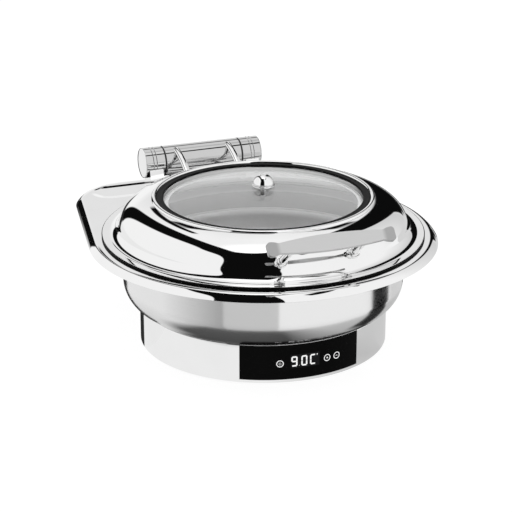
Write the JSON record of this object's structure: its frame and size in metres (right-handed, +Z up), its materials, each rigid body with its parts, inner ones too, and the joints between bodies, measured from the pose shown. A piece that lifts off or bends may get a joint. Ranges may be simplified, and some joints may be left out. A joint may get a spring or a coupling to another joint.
{
  "type": "electric chafing dish",
  "caption": "Round electric chafing dish: heated stand with a display, lift-off water pan, food pan, and a hinged domed lid with a glass window and bar handle.",
  "frame": {"origin": "on the table, under the axis of the round stand", "axes": "+Z up, front with the display faces -Y, hinge at +Y, +X to the viewer's right from the front"},
  "size_m": [0.44, 0.4892, 0.2154],
  "materials": {
    "polished_steel": "mirror polished",
    "satin_steel": "satin",
    "cast_plate": "as cast",
    "dark_metal": "oxidised",
    "soft_black": "matte",
    "black_plastic": "matte",
    "black_panel": "gloss",
    "circuit_board": "satin",
    "lead_cover": "matte",
    "bronze": "machined",
    "clear_glass": "clear"
  },
  "bodies": {
    "base": {"stand_shell": "polished_steel", "bottom_cover": "satin_steel", "cover_screws": "satin_steel", "foot_ring": "soft_black", "heating_plate": "cast_plate", "plate_seal": "soft_black", "heating_element": "dark_metal", "heat_shield": "satin_steel", "plate_standoffs": "satin_steel", "standoff_screws": "satin_steel", "thermostat": "dark_metal", "power_board": "circuit_board", "power_components": "black_plastic", "board_pillars": "satin_steel", "control_panel": "black_panel", "panel_carrier": "black_plastic", "control_board": "circuit_board", "led_display": "black_plastic", "touch_springs": "satin_steel", "panel_ribbon": "lead_cover", "power_inlet": "black_plastic", "inlet_pins": "bronze", "mains_leads": "lead_cover", "heater_leads": "lead_cover"},
    "dish": {"water_pan": "satin_steel", "rim_frame": "polished_steel", "hinge_bracket_left": "polished_steel", "hinge_bracket_right": "polished_steel", "bracket_screws": "satin_steel", "hinge_sleeve_left": "polished_steel", "hinge_sleeve_right": "polished_steel", "hinge_cap_left": "polished_steel", "hinge_cap_right": "polished_steel", "hinge_washer_left": "black_plastic", "hinge_washer_right": "black_plastic", "hinge_shaft": "satin_steel", "damper_cartridge": "dark_metal", "lift_spring": "dark_metal"},
    "food_pan": {"food_pan": "satin_steel"},
    "lid": {"lid_rim": "polished_steel", "lid_seal": "soft_black", "lid_shell": "polished_steel", "window_ring": "polished_steel", "glass_pane": "clear_glass", "glass_gasket": "soft_black", "vent_knob": "polished_steel", "vent_washer": "soft_black", "vent_nut": "satin_steel", "handle_bar": "satin_steel", "handle_post_left": "satin_steel", "handle_post_right": "satin_steel", "handle_screws": "satin_steel", "hinge_barrel": "polished_steel", "hinge_bush_left": "bronze", "hinge_bush_right": "bronze", "hinge_arm_left": "polished_steel", "hinge_arm_right": "polished_steel", "arm_screws": "satin_steel"}
  },
  "joints": [
    {"name": "dish_lift", "type": "slide", "parent": "base", "child": "dish", "axis": [0, 0, 1], "range_m": [0, 0.1]},
    {"name": "lid_hinge", "type": "hinge", "parent": "dish", "child": "lid", "pos_m": [0, 0.24, 0.16799], "axis": [-1, 0, 0], "range_deg": [0, 90]},
    {"name": "food_pan_lift", "type": "slide", "parent": "dish", "child": "food_pan", "axis": [0, 0, 1], "range_m": [0, 0.0045]}
  ]
}
